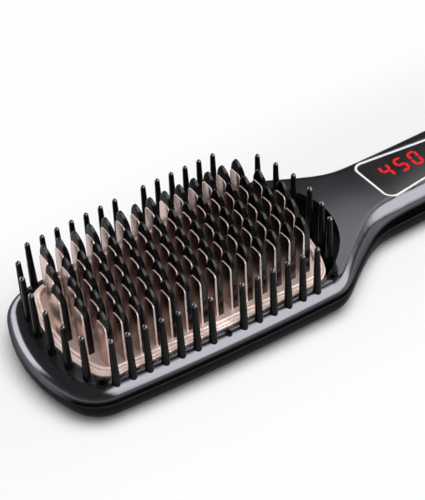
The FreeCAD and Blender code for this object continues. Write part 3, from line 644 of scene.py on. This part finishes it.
def guard_pin_places():
    """The middle place of each long side stays free for the vents."""
    upper = [(PITCH * i, side_line(PITCH * i, PIN_INSET)) for i in range(PIN_FIRST, PIN_LAST + 1) if i]
    for share in PIN_END_SHARES:
        y = PIN_END_HALF * share
        reach = PIN_REACH - PIN_END_RADIUS + math.sqrt(PIN_END_RADIUS ** 2 - y ** 2)
        upper += [(-reach, y), (reach, y)]
    return upper + [(x, -y) for x, y in upper]


pin().merged_at(guard_pin_places(), RIM).make("pins", "brush", "nylon_black", [pin_nylon, pin_tip_nylon],
                                              ["guard_pins"])


# Trim ring: a stepped rose-gold moulding with grooves darkened by painted shade, swept round the opening.


def angle(v):
    return math.atan2(v.y, v.x)


def corner_centre(end, bow, bow_radius, sign):
    """Centre of the corner arc that runs on into the end's arc and the long side's arc."""
    across = bow - end
    span = across.length
    end_left, bow_left = OPENING_END - OPENING_CORNER, bow_radius - OPENING_CORNER
    along = (span ** 2 + end_left ** 2 - bow_left ** 2) / (2 * span)
    unit = across / span
    foot = end + unit * along
    aside = Vector((-unit.y, unit.x)) * math.sqrt(end_left ** 2 - along ** 2)
    return max((foot + aside, foot - aside), key=lambda p: sign * p.x)


def opening_path():
    """Points of the opening's outline with their outward normals, counter-clockwise from the handle side."""
    bow_radius = SIDE_RADIUS - HEAD_HALF + OPENING_HALF
    bow = Vector((WIDEST, OPENING_HALF - bow_radius))
    right, left = Vector((OPENING_REACH - OPENING_END, 0)), Vector((OPENING_END - OPENING_REACH, 0))
    right_corner = corner_centre(right, bow, bow_radius, 1)
    left_corner = corner_centre(left, bow, bow_radius, -1)
    turns = [0, angle(right_corner - right), angle(right_corner - bow), angle(left_corner - bow),
             angle(left_corner - left), math.pi]
    arcs = [(right, OPENING_END, END_STEPS), (right_corner, OPENING_CORNER, CORNER_STEPS),
            (bow, bow_radius, BOW_STEPS), (left_corner, OPENING_CORNER, CORNER_STEPS),
            (left, OPENING_END, END_STEPS)]
    upper = [(Vector((OPENING_REACH, 0)), Vector((1, 0)))]
    for (centre, radius, count), start, end in zip(arcs, turns, turns[1:]):
        for a in even_steps(start, end, count)[1:]:
            normal = Vector((math.cos(a), math.sin(a)))
            upper.append((centre + normal * radius, normal))
    lower = [(Vector((p.x, -p.y)), Vector((n.x, -n.y))) for p, n in upper[-2:0:-1]]
    return upper + lower


def trim_ring():
    """Its strips are (inset, height, normal inward, normal up), each with a material number."""
    strips = []
    for inset, height, radius, start, end, count in BEADS:
        strip = arc(inset, height, radius, math.radians(180 - start), math.radians(180 - end), count)
        # Grooves take the second material, with its painted shade.
        strips.append((strip, int(radius < 0)))
    outer_inset, outer_height = strips[0][0][0][:2]
    inner_inset, inner_height = strips[-1][0][-1][:2]
    outer_wall = straight((outer_inset, RING_FOOT), (outer_inset, outer_height), (-1.0, 0.0))
    inner_wall = straight((inner_inset, inner_height), (inner_inset, RING_FOOT), (1.0, 0.0))
    path = opening_path()
    shell = Shell()
    edges = []
    for strip, material in [(outer_wall, 0), *strips, (inner_wall, 0)]:
        rows = [([Vector((p.x - n.x * inset, p.y - n.y * inset, height)) for p, n in path],
                 [Vector((-n.x * inward, -n.y * inward, up)) for p, n in path])
                for inset, height, inward, up in strip]
        numbers = shell.sweep(rows, material=material)
        edges.append((numbers[0], numbers[-1]))
    for i in range(len(edges)):
        last, following = edges[i][1], edges[(i + 1) % len(edges)][0]
        if (shell.points[last[0]] - shell.points[following[0]]).length > SAME_PLACE:
            shell.bridge(last, following)
    return shell


trim_ring().make("trim_moulding", "brush", "rose_gold", [ring_gold, ring_groove_shade], ["trim_ring"])


# Display digits: slanted seven-segment bars that sit on the window.


def segments():
    """Start, end and middle line of each bar, and whether it stands upright, by the usual letters."""
    side, top = (DIGIT_WIDE - BAR) / 2, (DIGIT_TALL - BAR) / 2
    reach = side - BAR_GAP
    near, far = BAR_GAP, top - BAR_GAP
    return {
        "a": (-reach, reach, top, False),
        "b": (near, far, side, True),
        "c": (-far, -near, side, True),
        "d": (-reach, reach, -top, False),
        "e": (-far, -near, -side, True),
        "f": (near, far, -side, True),
        "g": (-reach, reach, 0, False),
    }


def digit_bar(start, end, middle, upright, x):
    """A bar with pointed ends, in the figure whose middle is at x."""
    t = BAR / 2
    corners = [(start, 0), (start + t, -t), (end - t, -t), (end, 0), (end - t, t), (start + t, t)]
    if upright:
        local = [(middle - across, along) for along, across in corners]
    else:
        local = [(along, middle + across) for along, across in corners]
    return prism([(x + lx + SLANT * ly, DIGIT_Y + ly) for lx, ly in local], PANEL, PANEL + BAR_THICK)


all_segments = segments()
digit_bars = [digit_bar(*all_segments[letter], x) for figure, x in zip(DIGITS, DIGIT_PLACES)
              for letter in FIGURES[figure]]
join(digit_bars).make("digits", "brush", "display_glass", [digit_red])


# Case screws: domed heads with a cross recess, and threaded shanks.


def cross_recess(shell, rim):
    """The head's flat round the cross, and the cross's walls and floor."""
    cross = []
    for cosine, sine in ((1, 0), (0, 1), (-1, 0), (0, -1)):
        for u, v in ((CROSS_LONG, -CROSS_HALF), (CROSS_LONG, CROSS_HALF), (CROSS_HALF, CROSS_HALF)):
            cross.append(Vector((u * cosine - v * sine, u * sine + v * cosine, SCREW_BOTTOM)))
    both = rim + cross
    row = shell.add(both, [DOWN] * len(both))
    for triangle in tessellate_polygon([rim, cross]):
        a, b, c = (both[i] for i in triangle)
        corners = [row[i] for i in triangle]
        shell.face(corners if (b - a).cross(c - a).z < 0 else corners[::-1])
    floor = [Vector((p.x * CROSS_LEFT, p.y * CROSS_LEFT, SCREW_BOTTOM + CROSS_DEEP)) for p in cross]
    for i in range(len(cross)):
        j = (i + 1) % len(cross)
        edge = (cross[j] - cross[i]).normalized()
        shell.cap([cross[i], cross[j], floor[j], floor[i]], Vector((-edge.y, edge.x, CROSS_TILT)))
    shell.cap(floor[::-1], DOWN)


def cross_screw():
    shell = Shell()
    head = arc(SCREW_HEAD - SCREW_DOME, SCREW_BOTTOM + SCREW_DOME, SCREW_DOME, -QUARTER, 0, DOME_STEPS)
    head.append((SCREW_HEAD, SCREW_HEAD_TOP, 1.0, 0.0))
    head_rings = shell.sweep(circles(head, SCREW_HEAD_SIDES))
    cross_recess(shell, [shell.points[i] for i in head_rings[0]])
    shank = [(SHANK, SCREW_HEAD_TOP, 1.0, 0.0)]
    for turn in range(math.ceil((SHANK_TOP - PLAIN_END - SCREW_HEAD_TOP) / THREAD_PITCH)):
        start = SCREW_HEAD_TOP + THREAD_PITCH * turn
        shank += [(radius, start + level, 1.0, lean) for radius, level, lean in THREAD_TURN]
    shank.append((POINT_START_RADIUS, SHANK_TOP - POINT_START, *POINT_START_NORMAL))
    shank.append((POINT_RADIUS, SHANK_TOP, *POINT_NORMAL))
    shell.lid(shell.sweep(circles(shank, SHANK_SIDES))[-1], UP)
    shell.lid(head_rings[-1], UP)
    return shell


cross_screw().merged_at(SCREW_PLACES, 0).make("screws", "brush", "steel", [steel], ["case_screws"])


# Cord collar: a turned flange, neck and nose with grip grooves, along the X axis.


def laid_along_x(row):
    """Points and normals turned from the Z axis to the X axis."""
    return [[Vector((v.z, -v.y, v.x)) for v in vectors] for vectors in row]


def nose(z):
    """A point of the nose's tapered side."""
    slope = (NOSE - NOSE_END) / (NOSE_TOP - NECK_TOP)
    return (NOSE - slope * (z - NECK_TOP), z, 1.0, slope)


def grip_groove(start):
    points = []
    for t in even_steps(0, math.pi, GRIP_STEPS):
        radius, z, out, slope = nose(start + GRIP_WIDE / 2 * (1 - math.cos(t)))
        points.append((radius - GRIP_DEEP * math.sin(t), z, out, slope - GRIP_TILT * math.cos(t)))
    return points


def collar():
    outwards, inwards, forwards, backwards = (1.0, 0.0), (-1.0, 0.0), (0.0, 1.0), (0.0, -1.0)
    nose_start, brim, lip = NECK_TOP + NOSE_ROUND, BRIM - BRIM_ROUND, BORE + BORE_LIP
    strips = [
        straight((BORE, FLANGE_BOTTOM), (FLANGE, FLANGE_BOTTOM), backwards),
        straight((FLANGE, FLANGE_BOTTOM), (FLANGE, FLANGE_TOP), outwards),
        straight((FLANGE, FLANGE_TOP), (NECK, FLANGE_TOP), forwards),
        straight((NECK, FLANGE_TOP), (NECK, NECK_TOP), outwards),
        straight((NECK, NECK_TOP), (NOSE - NOSE_ROUND, NECK_TOP), backwards),
        arc(NOSE - NOSE_ROUND, nose_start, NOSE_ROUND, -QUARTER, NOSE_ROUND_END, NOSE_STEPS),
    ]
    grips = [GRIP_FIRST + GRIP_STEP * i for i in range(GRIPS)]
    for start, end in zip([nose_start] + [grip + GRIP_WIDE for grip in grips], grips + [GRIP_END]):
        strips.append([nose(start), nose(end)])
    strips += [grip_groove(grip) for grip in grips]
    strips += [
        arc(brim, NOSE_TOP - BRIM_ROUND, BRIM_ROUND, BRIM_START, QUARTER, BRIM_STEPS),
        straight((brim, NOSE_TOP), (lip, NOSE_TOP), forwards),
        arc(lip, NOSE_TOP - BORE_LIP, BORE_LIP, QUARTER, math.pi, LIP_STEPS),
        straight((BORE, NOSE_TOP - BORE_LIP), (BORE, FLANGE_BOTTOM), inwards),
    ]
    shell = Shell()
    for strip in strips:
        shell.sweep([laid_along_x(row) for row in circles(strip, COLLAR_SIDES)])
    return shell


collar().merged_at([(COLLAR_X, 0)], COLLAR_Z).make("collar", "cord_swivel", "casing_black", [collar_black],
                                                   ["cord_swivel"])


# Signs on the buttons: minus, plus and the power ring with its stroke.


def rectangle(x, wide, tall):
    """Its middle lies on the X axis."""
    left, right, half = x - wide / 2, x + wide / 2, tall / 2
    return [(left, -half), (right, -half), (right, half), (left, half)]


def arc_bar(x, radius, stroke, sweep, count):
    """Short bars along an arc that is open towards the tip of the brush."""
    inner, outer = ([(x + r * math.cos(a), r * math.sin(a)) for a in even_steps(-sweep, sweep, count)]
                    for r in (radius - stroke / 2, radius + stroke / 2))
    return [[inner[i], outer[i], outer[i + 1], inner[i + 1]] for i in range(count)]


def sign(name, body, outlines):
    bars = [prism(outline, CAP_TOP - SIGN_DEEP, CAP_TOP) for outline in outlines]
    join(bars).make(name, body, "silver_line", [mark_white])


plus_arm = (SIGN_LONG - SIGN_STROKE) / 2
plus_shift = (SIGN_STROKE + plus_arm) / 2
sign("sign_minus", "minus_button", [rectangle(MINUS_X, SIGN_STROKE, SIGN_LONG)])
sign("sign_plus", "plus_button", [rectangle(PLUS_X, SIGN_STROKE, SIGN_LONG),
                                  rectangle(PLUS_X - plus_shift, plus_arm, SIGN_STROKE),
                                  rectangle(PLUS_X + plus_shift, plus_arm, SIGN_STROKE)])
sign("sign_power", "power_button", [*arc_bar(POWER_X, POWER_RADIUS, POWER_STROKE, POWER_SWEEP, POWER_STEPS),
                                    rectangle(POWER_X - POWER_BAR_SHIFT, POWER_BAR, POWER_STROKE)])


# Floor: a wide pale sheet that shows the object's shadow near it and turns white further out.


def whiten(tree):
    """Mixes plain white into the floor outside an oval, as it is seen and mirrored but not as it lights."""
    rays = tree.nodes.new("ShaderNodeLightPath").outputs
    mirrored_ray = calculate(tree, "MAXIMUM", rays["Is Glossy Ray"], rays["Is Transmission Ray"])
    seen = calculate(tree, "MAXIMUM", rays["Is Camera Ray"], mirrored_ray)
    place = tree.nodes.new("ShaderNodeTexCoord").outputs["Object"]
    away = length(tree, mapped(tree, place, OVAL_SCALE, OVAL_SHIFT))
    far = step(tree, away, OVAL_INNER, OVAL_OUTER, WHITE_INNER, WHITE_OUTER)
    white = tree.nodes.new("ShaderNodeEmission")
    white.inputs["Strength"].default_value = 1.0
    blend = tree.nodes.new("ShaderNodeMixShader")
    connect(tree, calculate(tree, "MULTIPLY", seen, far), blend.inputs["Fac"])
    connect(tree, tree.nodes["Principled BSDF"].outputs["BSDF"], blend.inputs[1])
    connect(tree, white.outputs["Emission"], blend.inputs[2])
    connect(tree, blend.outputs["Shader"], tree.nodes["Material Output"].inputs["Surface"])


floor_mesh = bpy.data.meshes.new("floor")
floor_corners = [(x * FLOOR_HALF, y * FLOOR_HALF, 0) for x, y in ((-1, -1), (1, -1), (1, 1), (-1, 1))]
floor_mesh.from_pydata(floor_corners, [], [[0, 1, 2, 3]])
floor_object = bpy.data.objects.new("floor", floor_mesh)
scene.collection.objects.link(floor_object)
floor_mesh.materials.append(floor_paper)
whiten(floor_paper.node_tree)


# World: a dim room that is lighter near the horizon, and plain white where it is seen directly.


def dim_room(tree):
    background = tree.nodes["Background"].inputs
    background["Color"].default_value = (1, 1, 1, 1)
    height = split(tree, tree.nodes.new("ShaderNodeTexCoord").outputs["Generated"])["Z"]
    level = step(tree, height, SKY_LOW, SKY_HIGH, SKY_LOW_STRENGTH, SKY_HIGH_STRENGTH)
    seen = tree.nodes.new("ShaderNodeLightPath").outputs["Is Camera Ray"]
    connect(tree, calculate(tree, "MAXIMUM", level, seen), background["Strength"])


world = bpy.data.worlds.new("studio")
scene.world = world
world.use_nodes = True
dim_room(world.node_tree)


# Lamps: one for the plain light on the object and the floor, and four for the reflections.


def softbox(name, direction, distance, wide, tall, radiance, roll=0.0, shift=(0.0, 0.0), edge=0.35,
            reflected=True):
    """A rectangular lamp that looks at the object from a direction.

    Radiance is the brightness of its middle, and edge the share of its width over which that falls off. Shift
    moves it in its own plane. A reflected lamp shows only in reflections. Any other gives only plain light.
    """
    lamp = bpy.data.lights.new(name, "AREA")
    lamp.shape = "RECTANGLE"
    lamp.size, lamp.size_y = wide, tall
    lamp.energy = radiance * math.pi * wide * tall
    lamp.use_nodes = True
    tree = lamp.node_tree
    axes = split(tree, tree.nodes.new("ShaderNodeNewGeometry").outputs["Parametric"])
    level = 1.0
    for axis in ("X", "Y"):
        for outer, inner in ((0.0, edge), (1.0, 1.0 - edge)):
            level = calculate(tree, "MULTIPLY", level, step(tree, axes[axis], outer, inner))
    connect(tree, level, tree.nodes["Emission"].inputs["Strength"])
    lamp_object = bpy.data.objects.new(name, lamp)
    scene.collection.objects.link(lamp_object)
    aim = Vector(direction).normalized()
    facing = aim.to_track_quat("Z", "Y")
    lamp_object.location = LAMP_AIM + aim * distance + facing @ Vector((*shift, 0))
    lamp_object.rotation_euler = (facing @ Quaternion((0, 0, 1), math.radians(roll))).to_euler()
    lamp_object.visible_camera = False
    lamp_object.visible_diffuse = not reflected
    lamp_object.visible_glossy = reflected


softbox("over_box", (-0.06, -0.30, 0.95), distance=1.00, wide=1.20, tall=1.20, radiance=6.2, reflected=False)
softbox("front_box", (0.458, -0.654, 0.602), distance=1.00, wide=1.85, tall=1.50, radiance=4.4, edge=0.28)
softbox("back_box", (0.48, 0.58, 0.66), distance=1.00, wide=1.00, tall=0.60, radiance=1.3, edge=0.04,
        roll=36, shift=(-0.187, 0.218))
softbox("tip_box", (-0.453, 0.853, 0.259), distance=0.95, wide=1.50, tall=0.58, radiance=5.2, edge=0.22)
softbox("glint_box", (0.745, 0.386, 0.533), distance=1.00, wide=0.12, tall=0.12, radiance=45.0)


# Camera.

camera_data = bpy.data.cameras.new("camera")
camera_data.lens = CAMERA_LENS
camera_data.sensor_width = SENSOR_WIDTH
camera_data.clip_start = CLIP_START
camera_object = bpy.data.objects.new("camera", camera_data)
scene.collection.objects.link(camera_object)
camera_object.location = CAMERA_PLACE * MM
camera_object.rotation_mode = "QUATERNION"
camera_object.rotation_quaternion = CAMERA_TURN
scene.camera = camera_object
scene.view_settings.view_transform = "Standard"
